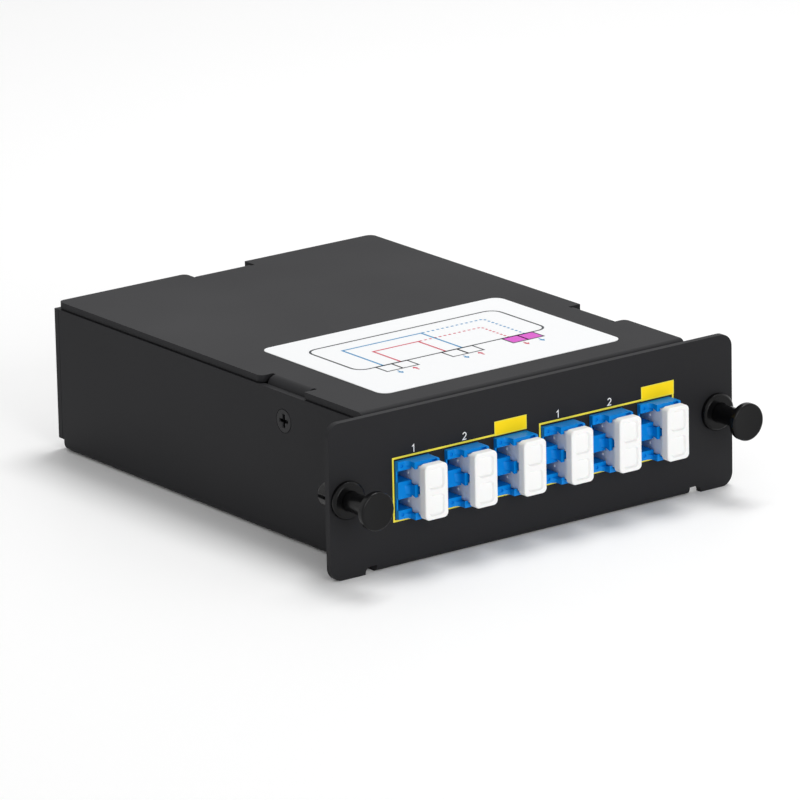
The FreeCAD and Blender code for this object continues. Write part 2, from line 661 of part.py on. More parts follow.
def make_cap(number):
    """Duplex dust cap: a rounded block with two dishes and two square prongs with grip nubs."""
    body = new_body(f"dust_cap_{number}")
    back = "(cap_block - cap_face)"
    block = new_sketch(body, "XZ_Plane", "-cap_face")
    centred(block, "cap_centre", "0", "cap_width", "cap_tall")
    pad(body, block, "cap_block")
    DOC.recompute()
    corners = edges_where(body, "y", both="z", x="cap_centre - cap_width / 2", z="cap_tall / 2")
    corners += edges_where(body, "y", both="z", x="cap_centre + cap_width / 2", z="cap_tall / 2")
    dress(body, "Fillet", "Radius", "cap_corner", corners)
    dress(body, "Fillet", "Radius", "cap_edge", edges_where(body, "z", y="-cap_face"))

    dishes = new_sketch(body, "XZ_Plane", "-cap_face")
    for port in PORTS:
        centred(dishes, "cap_centre", f"{port} * cap_dish_pitch", "cap_dish_wide", "cap_dish_tall")
    pocket(body, dishes, "cap_dish_deep")
    for x in ("cap_centre - cap_dish_wide / 2", "cap_centre + cap_dish_wide / 2"):
        dress(body, "Fillet", "Radius", "cap_dish_corner",
              edges_where(body, "y", x=x, y="cap_dish_deep / 2 - cap_face"))

    prongs = new_sketch(body, "XZ_Plane", back)
    for port in PORTS:
        centred(prongs, "plug_centre", f"{port} * plug_pitch", "prong", "prong")
    pad(body, prongs, f"prong_tip - {back}")
    bores = new_sketch(body, "XZ_Plane", "prong_tip - prong_bore_deep")
    for port in PORTS:
        circle(bores, "plug_centre", f"{port} * plug_pitch", "prong_bore")
    pocket(body, bores, "prong_bore_deep")
    DOC.recompute()
    tips = edges_where(body, "x", y="prong_tip") + edges_where(body, "z", y="prong_tip")
    dress(body, "Chamfer", "Size", "prong_lead", tips)
    nubs = new_sketch(body, "YZ_Plane", "plug_centre - prong / 2 - nub_rise")
    for port in PORTS:
        circle(nubs, "nub_radius", f"{port} * plug_pitch", "nub_radius")
    pad(body, nubs, f"nub_rise + {NEAR}")
    return place(body, adapter_x(number), FRONT, "port_height")


# ---------------------------------------------------------------- push-pull latches

def make_grommet(label, sign):
    """Split grommet: flange on the panel, neck in its hole and four spring legs behind."""
    body = new_body(label)
    half = new_sketch(body, "YZ_Plane")
    stem_bore, pin_bore = "stem_radius + latch_play", "pin_radius + latch_play"
    polygon(half, [("-latch_flange_thick", stem_bore),
                   ("-latch_flange_thick", "latch_flange - flange_edge"),
                   ("flange_edge - latch_flange_thick", "latch_flange"),
                   ("0", "latch_flange"), ("0", "latch_neck"), ("sheet", "latch_neck"),
                   ("1.2 * sheet", "latch_leg"), ("latch_reach - leg_taper", "latch_leg"),
                   ("latch_reach", "latch_leg - leg_point"), ("latch_reach", pin_bore),
                   ("latch_travel + stem_stop", pin_bore), ("latch_travel + stem_stop", stem_bore)])
    revolve(body, half, "Y_Axis")
    across = "2 * latch_neck + sheet"
    for wide, tall in (("leg_slot", across), (across, "leg_slot")):
        slot = new_sketch(body, "XZ_Plane", "1.2 * sheet")
        centred(slot, "0", "0", wide, tall)
        pocket(body, slot, "latch_reach")
    return place(body, f"{sign}latch_spacing / 2", FRONT, "latch_height")


def make_plunger(label, sign):
    """Push-pull plunger: broad flat head, waisted stem and the pin that spreads the legs."""
    body = new_body(label)
    half = new_sketch(body, "YZ_Plane")
    back, stem_end = "(knob_thick - knob_face)", "2 * latch_play"
    polygon(half, [("-knob_face", "0"), ("-knob_face", "knob_radius - knob_edge"),
                   ("knob_edge - knob_face", "knob_radius"), (f"{back} - knob_edge", "knob_radius"),
                   (back, "knob_radius - knob_edge"), (f"{back} + knob_flare", "stem_radius"),
                   (stem_end, "stem_radius"), (stem_end, "pin_radius"),
                   ("pin_tip - knob_edge", "pin_radius"), ("pin_tip", "pin_radius - knob_edge"),
                   ("pin_tip", "0")])
    revolve(body, half, "Y_Axis")
    return place(body, f"{sign}latch_spacing / 2", FRONT, "latch_height")


# ---------------------------------------------------------------- inside the box

def solid(kind, name, **dimensions):
    """Part primitive whose named dimensions are bound to the sheet."""
    piece = DOC.addObject(f"Part::{kind}", name)
    for dimension, text in dimensions.items():
        piece.setExpression(dimension, bound(text))
    return piece


def make_plugs(number):
    """Two fibre plugs in the rear of the adapter: ferrule, square housing and tapered boot."""
    plugs = []
    start = "(core_middle + middle_wall / 2 + plug_gap)"
    for port in PORTS:
        ferrule = solid("Cylinder", "Ferrule", Radius="ferrule / 2", Height=f"{start} - core_middle")
        collar = solid("Cylinder", "FerruleCollar", Radius="plug_collar", Height="plug_collar_long")
        boot = solid("Cone", "Boot", Radius1="boot_wide", Radius2="boot_slim", Height="boot_length")
        housing = solid("Box", "Housing", Length="plug_body", Width="plug_length", Height="plug_body")
        place(housing, "-plug_body / 2", start, "-plug_body / 2")
        for piece, y in ((ferrule, f"core_middle + {NEAR}"), (collar, f"{start} - plug_collar_long"),
                         (boot, f"{start} + plug_length")):
            piece.Placement = ALONG_Y
            place(piece, "0", y, "0")
        plug = DOC.addObject("Part::MultiFuse", "Plug")
        plug.Shapes = [ferrule, collar, housing, boot]
        place(plug, "plug_centre", "0", f"{port} * plug_pitch")
        plugs.append(plug)
    return gather(f"fibre_plugs_{number}", plugs, adapter_x(number), FRONT, "port_height")


def splitter_y(number):
    return f"holder_depth + ({number - 2.5}) * splitter_pitch"


def make_splitter(number):
    """Steel tube with a fused coupler inside, lying across the box."""
    tube = solid("Cylinder", f"tap_splitter_{number}", Radius="splitter_radius",
                 Height="splitter_length")
    tube.Label = f"tap_splitter_{number}"
    tube.Placement = FreeCAD.Placement(FreeCAD.Vector(), FreeCAD.Rotation(FreeCAD.Vector(0, 1, 0), 90))
    return place(tube, "-splitter_length / 2", splitter_y(number),
                 "sheet + splitter_rise + splitter_radius")


def make_holder():
    """Comb with four open grooves for the splitter tubes."""
    body = new_body("splitter_holder")
    block = new_sketch(body, "YZ_Plane", "-splitter_length / 4")
    tube_low = "(sheet + splitter_rise)"
    rectangle(block, "holder_depth - 2.5 * splitter_pitch", "sheet",
              "holder_depth + 2.5 * splitter_pitch", f"{tube_low} + 2 * splitter_radius")
    pad(body, block, "splitter_length / 2")
    grooves = new_sketch(body, "YZ_Plane", "-splitter_length / 4")
    for number in range(1, 5):
        circle(grooves, splitter_y(number), f"{tube_low} + splitter_radius",
               "splitter_radius + holder_play")
    pocket(body, grooves, "splitter_length / 2")
    mouths = new_sketch(body, "YZ_Plane", "-splitter_length / 4")
    for number in range(1, 5):
        rectangle(mouths, f"{splitter_y(number)} - mouth_half", f"{tube_low} + mouth_low",
                  f"{splitter_y(number)} + mouth_half", f"{tube_low} + 3 * splitter_radius")
    pocket(body, mouths, "splitter_length / 2")
    return body


def make_guide(label, sign):
    """Round fibre guide: a wall on a thin foot with four retaining tabs at its top."""
    body = new_body(label)
    foot = new_sketch(body, "XY_Plane", "sheet")
    circle(foot, "0", "0", "spool_radius + foot_out")
    circle(foot, "0", "0", "spool_radius - foot_in")
    pad(body, foot, "spool_foot")
    wall = new_sketch(body, "XY_Plane", "sheet")
    circle(wall, "0", "0", "spool_radius")
    circle(wall, "0", "0", "spool_radius - spool_wall")
    pad(body, wall, "spool_height")
    tabs = new_sketch(body, "XY_Plane", "sheet + spool_height - tab_thick")
    out = "(spool_radius + spool_wall)"
    for x, y in ((out, "0"), (f"-{out}", "0"), ("0", out), ("0", f"-{out}")):
        centred(tabs, x, y, "tab", "tab")
    pad(body, tabs, "tab_thick")
    return place(body, f"{sign}spool_spread", "spool_depth", "0")


def make_coil(label, sign):
    """Flat bundle of fibre turns coiled on its guide."""
    body = new_body(label)
    section = new_sketch(body, "XZ_Plane")
    near, low = "(spool_radius + fit_gap)", "(sheet + spool_foot + fit_gap)"
    far, high = f"({near} + 2 * coil_radius)", f"({low} + 2 * coil_radius)"
    polygon(section, [(near, f"{low} + coil_bevel"), (f"{near} + coil_bevel", low),
                      (f"{far} - coil_bevel", low), (far, f"{low} + coil_bevel"),
                      (far, f"{high} - coil_bevel"), (f"{far} - coil_bevel", high),
                      (f"{near} + coil_bevel", high), (near, f"{high} - coil_bevel")])
    revolve(body, section, "Z_Axis")
    return place(body, f"{sign}spool_spread", "spool_depth", "0")


def make_label():
    """Printed film on the cover that carries the wiring diagram."""
    body = new_body("wiring_label")
    film = new_sketch(body, "XY_Plane", "panel_height")
    rectangle(film, "label_left", "label_front - tray_depth / 2",
              "label_right", "label_back - tray_depth / 2")
    pad(body, film, "label_film")
    DOC.recompute()
    corners = []
    for x in ("label_left", "label_right"):
        for y in ("label_front", "label_back"):
            corners += edges_where(body, "z", x=x, y=f"{y} - tray_depth / 2")
    dress(body, "Fillet", "Radius", "label_corner", corners)
    return body


# ---------------------------------------------------------------- the whole cassette

def make_all():
    parts = [make_tray(), make_cover()]
    side = "(tray_width / 2)"
    x_axis, y_axis = FreeCAD.Vector(1, 0, 0), FreeCAD.Vector(0, 1, 0)
    for name, x, y, turn in (("left", f"-{side}", "screw_depth", (y_axis, -90)),
                             ("right", side, "screw_depth", (y_axis, 90)),
                             ("rear", "rear_notch_centre", REAR, (x_axis, -90))):
        parts.append(make_screw(f"cover_screw_{name}", x, y, turn))
    for number in ADAPTERS:
        parts += [make_adapter(number), make_clip(number), make_sleeves(number)]
        parts += [make_plugs(number), make_cap(number)]
    for name, sign in (("left", "-"), ("right", "+")):
        parts += [make_grommet(f"latch_grommet_{name}", sign), make_plunger(f"latch_plunger_{name}", sign)]
        parts += [make_guide(f"fibre_guide_{name}", sign), make_coil(f"fibre_coil_{name}", sign)]
    parts += [make_splitter(number) for number in range(1, 5)]
    parts += [make_holder(), make_label()]
    return parts


def check_and_write(parts):
    """Stop at any failed object or broken shape, then write one STEP file for each sub-part."""
    DOC.recompute()
    bad = {"Invalid", "Error"}
    failed = [f"{item.Label}: {item.State}" for item in DOC.Objects if bad & set(item.State)]
    broken = [part.Label for part in parts if part.Shape.isNull() or not part.Shape.isValid()]
    if failed or broken:
        raise RuntimeError(f"failed {failed}, broken {broken}")
    os.makedirs("parts", exist_ok=True)
    for part in parts:
        part.Shape.exportStep(f"parts/{part.Label}.step")
        print(f"{part.Label}: {len(part.Shape.Solids)} solid, {part.Shape.Volume:.1f} mm3")


check_and_write(make_all())
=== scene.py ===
"""Dressed model of the fibre cassette: finishes, softened edges, printing and lights.

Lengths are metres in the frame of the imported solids: +Z up, the front panel faces -Y.
The panel, the ports, the latches and the label are found from the frame, so that the
dressed pieces sit on their solids.
"""
import math

import bmesh
import bpy
import numpy as np
from mathutils import Matrix, Vector


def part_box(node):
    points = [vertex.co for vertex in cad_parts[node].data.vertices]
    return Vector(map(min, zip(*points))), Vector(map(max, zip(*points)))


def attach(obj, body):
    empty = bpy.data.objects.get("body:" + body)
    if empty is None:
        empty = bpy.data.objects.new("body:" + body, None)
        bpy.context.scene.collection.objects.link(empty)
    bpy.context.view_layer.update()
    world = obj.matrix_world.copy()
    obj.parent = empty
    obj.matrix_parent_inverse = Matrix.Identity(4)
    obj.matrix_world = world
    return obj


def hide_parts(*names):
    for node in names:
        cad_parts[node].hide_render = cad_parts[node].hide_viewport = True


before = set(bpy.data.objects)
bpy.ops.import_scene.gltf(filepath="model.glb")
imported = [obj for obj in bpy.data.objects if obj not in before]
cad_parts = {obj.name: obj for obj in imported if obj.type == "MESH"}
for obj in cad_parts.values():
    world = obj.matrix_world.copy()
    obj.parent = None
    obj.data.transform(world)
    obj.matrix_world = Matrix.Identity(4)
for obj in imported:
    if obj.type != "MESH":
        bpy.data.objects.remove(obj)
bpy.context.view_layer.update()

bl_info = {
    "name": "Fibre Cassette",
    "version": (1, 0, 0),
    "blender": (4, 5, 0),
    "location": "3D Viewport > Sidebar > Cassette",
    "description": "Finishes, printing and lights of a quarter-width fibre cassette",
    "category": "Object",
}

MM = 0.001
TINY = 1e-9  # least divisor, in place of zero
ADAPTERS = range(1, 7)
PORTS = (-0.5, 0.5)
SIDES = ("left", "right")
PANEL_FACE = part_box("base_tray")[0].y
LABEL_LOW, LABEL_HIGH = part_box("wiring_label")

# Dust caps: the block, its two dishes, the prongs behind it and their grip nubs.
CAP_WIDE, CAP_THICK = 6.0 * MM, 2.0 * MM
CAP_GRID = 0.1 * MM
DISH_WIDE, DISH_TALL, DISH_CORNER, DISH_PITCH = 4.1 * MM, 4.7 * MM, 1.0 * MM, 5.8 * MM
PLUG_PITCH = 6.25 * MM
PRONG_SHIFT = -0.2 * MM
PRONG_WIDE, PRONG_ROOT = 4.5 * MM, 0.3 * MM
PRONG_EDGE, PRONG_LEAD, PRONG_TAPER = 0.35 * MM, 0.35 * MM, 0.8
PRONG_BORE, PRONG_DEEP = 1.45 * MM, 5.5 * MM
NUB_RADIUS, NUB_RISE, NUB_BEHIND = 0.35 * MM, 0.14 * MM, 0.35 * MM

# Latch plungers: the head's radius and both ends come from the frame.
STEM_RADIUS, PIN_RADIUS = 2.15 * MM, 1.4 * MM
HEAD_THICK, HEAD_FLARE = 1.5 * MM, 1.6 * MM
HEAD_DISH, DISH_SIDE = 0.12 * MM, 0.1 * MM
SHOULDER_BEHIND = 0.12 * MM

# Panel printing, in millimetres of x and z: open frame lines, tags (left, low, right, high),
# and the numbers with the middle of their foot.  Ink starts a little behind the face.
INK_BEHIND = 0.005 * MM
FRAME_LINES = (
    ((-2.4, 10.25), (-37.8, 10.25), (-37.8, 24.08), (-10.8, 24.08)),
    ((29.15, 24.08), (1.4, 24.08), (1.4, 10.25), (37.9, 10.25), (37.9, 24.0)),
)
TAGS = ((-10.8, 23.8, -2.15, 27.0), (29.15, 23.8, 38.2, 27.0))
NUMBERS = ((1, (-32.36, 24.6)), (2, (-18.8, 24.6)), (1, (6.3, 24.6)), (2, (20.4, 24.6)))

# Label printing, in millimetres of x and of depth behind the panel face.  A port is given by
# its left side, an arrow by its ink and the depths of its tail and tip.
DIAGRAM, DIAGRAM_CORNER = (-25.5, 28.5, 26.0, 48.2), 2.8
LINE_PORTS = (-21.0, -16.8, -3.3, 0.8)
TAP_PORTS = (13.1, 17.3)
PORT_WIDE, PORT_NEAR, PORT_FAR = 4.2, 24.2, 28.4
PORT_LINE = 0.8
ARROWS = (("blue", 23.4, 21.2), ("red", 21.2, 23.6), ("blue", 23.4, 21.2),
          ("red", 21.2, 23.6), ("red", 23.4, 21.2), ("blue", 23.4, 21.2))
DASH_PITCH = 1.3
ROUTES = {
    "red": (((-14.2, 28.6), (-14.2, 38.6), (-2.0, 38.6), (-2.0, 28.6)),),
    "blue": (((-18.9, 28.6), (-18.9, 43.5), (2.4, 43.5), (2.4, 28.6)),),
}
DASHED_ROUTES = {
    "red": (((-2.0, 38.6), (15.2, 38.6), (15.2, 28.0)),),
    "blue": (((2.4, 43.5), (19.5, 43.5), (19.5, 28.0)),),
}

# Stage, in metres, degrees and watts, the lens in millimetres; a lamp is place, width, power.
CAMERA_PLACE = (-0.8517, -1.1701, 0.4463)
CAMERA_TURN, CAMERA_DIP, CAMERA_ROLL = 36.3, 16.55, -1.18
CAMERA_LENS, CAMERA_SENSOR = 307.4, 36
FLOOR_REACH = 6.0
AMBIENT = 0.5
LAMPS = {
    "key": ((0.3, 0.1, 0.95), 0.4, 4.7),
    "front": ((-0.1, -1.3, 0.45), 0.7, 6.6),
}
LAMP_TARGET = (0, 0, 0.02)


# ---------------------------------------------------------------- adjustable sizes and colours

def mm_size(name, description, default):
    """Length property whose default is given in millimetres."""
    return bpy.props.FloatProperty(name=name, description=description, default=default * MM,
                                   min=0.0, unit="LENGTH", precision=5)


def hex_colour(name, description, default):
    """Colour kept as an sRGB hex word."""
    return bpy.props.StringProperty(name=name, description=description, default=default,
                                    maxlen=7)


class CassettePaint(bpy.types.PropertyGroup):
    """Colours of the finishes, as sRGB hex."""
    steel: hex_colour("Powder coat", "Satin black of the folded steel", "#222224")
    screw: hex_colour("Screw", "Black zinc of the cover screws", "#1A1A1C")
    adapter: hex_colour("Adapter", "Blue of the adapters", "#0084DA")
    cap: hex_colour("Dust cap", "White of the dust caps", "#F0F0EF")
    nylon: hex_colour("Latch", "Black of the latches", "#0C0C0D")
    yellow: hex_colour("Yellow ink", "Tags on the panel", "#FFDC0A")
    frame_ink: hex_colour("Frame ink", "Frames round the ports", "#F3E24A")
    white: hex_colour("White ink", "Numbers on the panel", "#EFEFEC")
    film: hex_colour("Label film", "White of the wiring label", "#F2F3F4")
    line: hex_colour("Label line", "Dark outline on the label", "#33373C")
    red: hex_colour("Red route", "First fibre on the label", "#C8485C")
    blue: hex_colour("Blue route", "Second fibre on the label", "#3A8ABA")
    pink: hex_colour("Tap port", "Tap port on the label", "#D85BC8")


class CassetteSizes(bpy.types.PropertyGroup):
    """Sizes of the softened edges, the printing and the dust caps."""
    steel_edge: mm_size("Steel edge", "Rounding that the coating leaves on sheet edges", 0.18)
    cover_corner: mm_size("Cover corner", "Rounding of the cover's two rear corners", 1.6)
    plastic_edge: mm_size("Plastic edge", "Rounding of the adapters' moulded edges", 0.12)
    ink: mm_size("Ink", "Height of the printing over its ground", 0.02)
    frame_line: mm_size("Frame line", "Width of the yellow frame lines", 0.42)
    digit_stroke: mm_size("Digit stroke", "Stroke of the numbers", 0.22)
    digit_tall: mm_size("Digit height", "Height of the numbers", 1.6)
    route_line: mm_size("Route line", "Width of the lines on the label", 0.52)
    screw_edge: mm_size("Screw edge", "Chamfer round the screws' heads", 0.25)
    latch_edge: mm_size("Latch edge", "Rounding of the grommets' edges", 0.1)
    label_corner: mm_size("Label corner", "Corner radius of the label", 2.5)
    cap_edge: mm_size("Cap edge", "Rounding round the cap's face", 0.35)
    cap_corner: mm_size("Cap corner", "Corner radius of the cap's face", 1.1)
    dish_deep: mm_size("Dish depth", "Depth of the two dishes in a cap", 0.5)
    dish_slope: mm_size("Dish slope", "Width of the dishes' sloping sides", 0.35)


# ---------------------------------------------------------------- helpers for shapes

def add_object(name, points, faces, body, slot, smooth=True):
    """Object from whole arrays of points and faces, riding on a body."""
    mesh = bpy.data.meshes.new(name)
    mesh.from_pydata(points.reshape(-1, 3).tolist(), [], faces)
    mesh.polygons.foreach_set("use_smooth", np.full(len(mesh.polygons), smooth))
    item = bpy.data.objects.new(name, mesh)
    bpy.context.scene.collection.objects.link(item)
    tidy_mesh(mesh)
    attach(item, body)
    return item


def tidy_mesh(mesh):
    """Merge doubled vertices and turn all faces outwards."""
    work = bmesh.new()
    work.from_mesh(mesh)
    bmesh.ops.remove_doubles(work, verts=work.verts, dist=1e-7)
    bmesh.ops.dissolve_degenerate(work, edges=work.edges, dist=1e-8)
    bmesh.ops.recalc_face_normals(work, faces=work.faces)
    work.to_mesh(mesh)
    work.free()


def loft(rings, closed=False):
    """Points and faces of a skin over rings of equal length.

    Point (i, j) is place j on ring i, face (i, j) joins places j and j + 1 of rings i and
    i + 1; the first and last rings are closed with a flat face unless the loft is closed.
    """
    rings = np.asarray(rings, float)
    count, around = rings.shape[:2]
    last = count if closed else count - 1
    i, j = np.meshgrid(np.arange(last), np.arange(around), indexing="ij")
    after, beside = (i + 1) % count, (j + 1) % around
    quads = np.stack([i * around + j, i * around + beside,
                      after * around + beside, after * around + j], -1).reshape(-1, 4)
    faces = quads.tolist()
    if not closed:
        faces.append(list(range(around)))
        faces.append(list(range((count - 1) * around, count * around)))
    return rings, faces


def closed_sheets(front, back):
    """Two grids of the same size joined along their rims."""
    rows, columns = front.shape[:2]
    index = np.arange(rows * columns).reshape(rows, columns)
    quads = np.stack([index[:-1, :-1], index[1:, :-1], index[1:, 1:], index[:-1, 1:]],
                     -1).reshape(-1, 4)
    rim = np.concatenate([index[:-1, 0], index[-1, :-1], index[:0:-1, -1], index[0, :0:-1]])
    on = np.roll(rim, -1)
    offset = rows * columns
    sides = np.stack([rim, on, on + offset, rim + offset], -1)
    faces = np.concatenate([quads, quads[:, ::-1] + offset, sides])
    return np.concatenate([front.reshape(-1, 3), back.reshape(-1, 3)]), faces.tolist()


def arcs(points, radii, steps=6):
    """Closed outline with each corner turned into an arc.

    The arc of radius r at a corner with half angle a starts r / tan(a) before the corner and
    its centre lies r / sin(a) along the bisector.  A corner that hardly turns stays a point.
    """
    straight = 1.57
    points = np.asarray(points, float)
    before = np.roll(points, 1, 0) - points
    after = np.roll(points, -1, 0) - points
    before /= np.linalg.norm(before, axis=1)[:, None]
    after /= np.linalg.norm(after, axis=1)[:, None]
    outline = []
    radii = np.broadcast_to(radii, len(points))
    for corner, back, on, radius in zip(points, before, after, radii):
        half = np.arccos(np.clip(back @ on, -1, 1)) / 2
        if radius <= 0 or half > straight:
            outline.append(corner[None])
            continue
        bisector = (back + on) / np.linalg.norm(back + on)
        centre = corner + bisector * radius / np.sin(half)
        start = corner + back * radius / np.tan(half) - centre
        end = corner + on * radius / np.tan(half) - centre
        share = np.linspace(0, 1, steps + 1)[:, None]
        turn = np.pi - 2 * half
        arc = (np.sin((1 - share) * turn) * start + np.sin(share * turn) * end) / np.sin(turn)
        outline.append(centre + arc)
    return np.concatenate(outline)


def rounded_box(left, low, right, high, radius, steps=6):
    """Outline of a box with rounded corners, or with sharp ones for a radius of 0."""
    return arcs([(left, low), (right, low), (right, high), (left, high)], radius, steps)


def on_panel(flat, depth):
    """Points of the panel plane from (x, z), at a depth behind the panel face."""
    return np.column_stack([flat[:, 0], np.full(len(flat), PANEL_FACE + depth), flat[:, 1]])


def on_label(flat, height):
    """Points of the label plane from x and the depth behind the panel, at a height."""
    return np.column_stack([flat[:, 0], PANEL_FACE + flat[:, 1], np.full(len(flat), height)])


def metres(points):
    """Whole array of metres from points in millimetres."""
    return np.asarray(points, float) * MM


def plate(outline, plane, near, far):
    """Thin prism over an outline between two levels of a plane."""
    return loft([plane(outline, near), plane(outline, far)])


def stroke(path, width, closed=False):
    """Rings of four corners along a flat path: left and right of it by half the width.

    At a corner the side points lie on the bisector, further out by 1 / cos of half the turn.
    """
    path = np.asarray(path, float)
    step = np.roll(path, -1, 0) - path if closed else np.diff(path, axis=0)
    step /= np.linalg.norm(step, axis=1)[:, None]
    into = np.roll(step, 1, 0) if closed else np.vstack([step[:1], step])
    out = step if closed else np.vstack([step, step[-1:]])
    mean = into + out
    mean /= np.linalg.norm(mean, axis=1)[:, None]
    spread = np.sum(mean * out, axis=1)[:, None]
    side = np.column_stack([-mean[:, 1], mean[:, 0]]) * width / 2 / spread
    return path + side, path - side


def ribbon(path, width, plane, near, far, closed=False):
    """Printed line: a flat strip along a path, with the thickness of the ink."""
    left, right = stroke(path, width, closed)
    corners = [plane(left, near), plane(right, near), plane(right, far), plane(left, far)]
    return loft(np.stack(corners, 1), closed)


def joined(shapes):
    """Points and faces of several shapes as one mesh."""
    points, faces, start = [], [], 0
    for place, sides in shapes:
        flat = np.asarray(place).reshape(-1, 3)
        points.append(flat)
        faces += [[index + start for index in side] for side in sides]
        start += len(flat)
    return np.concatenate(points), faces


def lathe(profile, x, z, around=96):
    """Surface of revolution about a line along Y: x + r cos t, y, z + r sin t."""
    angle = np.linspace(0, 2 * np.pi, around, endpoint=False)
    y, r = np.asarray(profile, float).T
    rings = np.stack([x + np.outer(r, np.cos(angle)),
                      np.repeat(y[:, None], around, 1),
                      z + np.outer(r, np.sin(angle))], -1)
    return loft(rings)


def softened(name, width, body):
    """Copy of a solid with its sharp edges rounded by a narrow bevel, shown in its place."""
    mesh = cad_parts[name].data.copy()
    mesh.materials.clear()
    work = bmesh.new()
    work.from_mesh(mesh)
    bmesh.ops.remove_doubles(work, verts=work.verts, dist=1e-6)
    bmesh.ops.dissolve_limit(work, angle_limit=math.radians(0.5), verts=work.verts,
                             edges=work.edges)
    work.to_mesh(mesh)
    work.free()
    mesh.polygons.foreach_set("use_smooth", np.ones(len(mesh.polygons), bool))
    item = bpy.data.objects.new(name + "_shell", mesh)
    bpy.context.scene.collection.objects.link(item)
    bevel = item.modifiers.new("edges", "BEVEL")
    bevel.width = width
    bevel.segments = 2
    bevel.limit_method = "ANGLE"
    bevel.angle_limit = math.radians(35)
    bevel.use_clamp_overlap = True
    bevel.harden_normals = True
    weigh = item.modifiers.new("flats", "WEIGHTED_NORMAL")
    weigh.keep_sharp = True
    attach(item, body)
    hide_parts(name)
    return item


def round_corners(cover, radius):
    """Round the upright edges at the cover's two rear corners, before its sharp edges."""
    mesh = cover.data
    points = np.array([vertex.co for vertex in mesh.vertices])
    far = np.stack([np.abs(points[:, 0]), points[:, 1]])
    corner = (far > far.max(1, keepdims=True) - 0.01 * MM).all(0)
    weights = mesh.attributes.new("bevel_weight_edge", "FLOAT", "EDGE")
    ends = np.array([edge.vertices[:] for edge in mesh.edges])
    weights.data.foreach_set("value", corner[ends].all(1).astype(np.float32))
    bevel = cover.modifiers.new("corners", "BEVEL")
    bevel.width = radius
    bevel.segments = 6
    bevel.limit_method = "WEIGHT"
    cover.modifiers.move(len(cover.modifiers) - 1, 0)


def keep_crisp(item, degrees=40):
    """Keep edges that turn by more than an angle crisp under smooth shading."""
    mesh = item.data
    work = bmesh.new()
    work.from_mesh(mesh)
    limit = math.radians(degrees)
    for edge in work.edges:
        edge.smooth = len(edge.link_faces) < 2 or edge.calc_face_angle(0.0) < limit
    work.to_mesh(mesh)
    work.free()


# ---------------------------------------------------------------- helpers for materials

def linear(colour):
    """Linear RGBA of an sRGB hex colour such as #2B2B2D."""
    code = colour.lstrip("#")
    parts = np.array([int(code[i:i + 2], 16) for i in (0, 2, 4)]) / 255
    low, high = parts / 12.92, ((parts + 0.055) / 1.055) ** 2.4
    return (*np.where(parts <= 0.04045, low, high).tolist(), 1.0)


def node(tree, kind, inputs=None, **settings):
    """Add a node, set its settings, and set or link its inputs (a socket is linked)."""
    made = tree.nodes.new("ShaderNode" + kind)
    for name, value in settings.items():
        setattr(made, name, value)
    for name, value in (inputs or {}).items():
        if isinstance(value, bpy.types.NodeSocket):
            tree.links.new(value, made.inputs[name])
        else:
            made.inputs[name].default_value = value
    return made


def finish(material_name, colour, roughness, specular=0.5, metallic=0.0, subsurface=0.0):
    """Material with a Principled surface, ready for a pattern."""
    material = bpy.data.materials.new(material_name)
    material.use_nodes = True
    tree = material.node_tree
    tree.nodes.clear()
    surface = node(tree, "BsdfPrincipled", {
        "Base Color": linear(colour), "Roughness": roughness, "Metallic": metallic,
        "Specular IOR Level": specular, "Subsurface Weight": subsurface,
        "Subsurface Scale": 1.5 * MM})
    node(tree, "OutputMaterial", {"Surface": surface.outputs[0]})
    return material, tree, surface


def place_in(tree):
    """Place on the object, in metres along its own axes."""
    return node(tree, "TexCoord").outputs["Object"]


def noise(tree, pitch, detail=2.0):
    """Noise from 0 to 1 over the object, its features about a pitch in millimetres across."""
    made = node(tree, "TexNoise", {"Vector": place_in(tree), "Scale": 1 / (pitch * MM),
                                   "Detail": detail})
    return made.outputs["Fac"]


def raise_surface(tree, surface, height, depth, strength=1.0):
    """Feed a height from 0 to 1 into the surface's normal, with its depth in metres."""
    bump = node(tree, "Bump", {"Height": height, "Distance": depth, "Strength": strength})
    tree.links.new(bump.outputs["Normal"], surface.inputs["Normal"])


def vary(tree, surface, socket, pattern, low, high):
    """Drive a surface value between two limits with a pattern from 0 to 1."""
    spread = node(tree, "MapRange", {"Value": pattern, "To Min": low, "To Max": high})
    tree.links.new(spread.outputs[0], surface.inputs[socket])


def powder_coat(paint):
    """Polyester powder coat, satin black, baked on steel sheet.

    Its flow leaves a fine orange peel about 1.2 mm from crest to crest, which breaks up the
    reflections, and a slight drift in gloss over some centimetres.
    """
    material, tree, surface = finish("satin_powder_coat", paint.steel, 0.55, specular=0.12)
    vary(tree, surface, "Roughness", noise(tree, 40), 0.50, 0.62)
    raise_surface(tree, surface, noise(tree, 1.2, 1.5), 0.012 * MM, strength=0.5)
    return material


def black_zinc(paint):
    """Black zinc plate on a screw: a dim metal, its gloss broken up by a fine grain."""
    material, tree, surface = finish("black_zinc_plate", paint.screw, 0.34, metallic=0.7)
    vary(tree, surface, "Roughness", noise(tree, 0.25), 0.28, 0.42)
    return material


def adapter_blue(paint):
    """Glass-filled PBT, moulded blue: an even gloss with a faint flow mottle."""
    material, tree, surface = finish("moulded_blue_pbt", paint.adapter, 0.4, specular=0.15)
    flow = noise(tree, 2.5)
    vary(tree, surface, "Roughness", flow, 0.34, 0.46)
    raise_surface(tree, surface, flow, 0.01 * MM, strength=0.4)
    return material


def cap_white(paint):
    """Polyethylene dust cap: soft white that lets a little light in, with a fine spark finish."""
    material, tree, surface = finish("moulded_white_polyethylene", paint.cap, 0.38,
                                     specular=0.35, subsurface=0.05)
    spark = noise(tree, 0.35)
    vary(tree, surface, "Roughness", spark, 0.34, 0.44)
    raise_surface(tree, surface, spark, 0.006 * MM, strength=0.4)
    return material


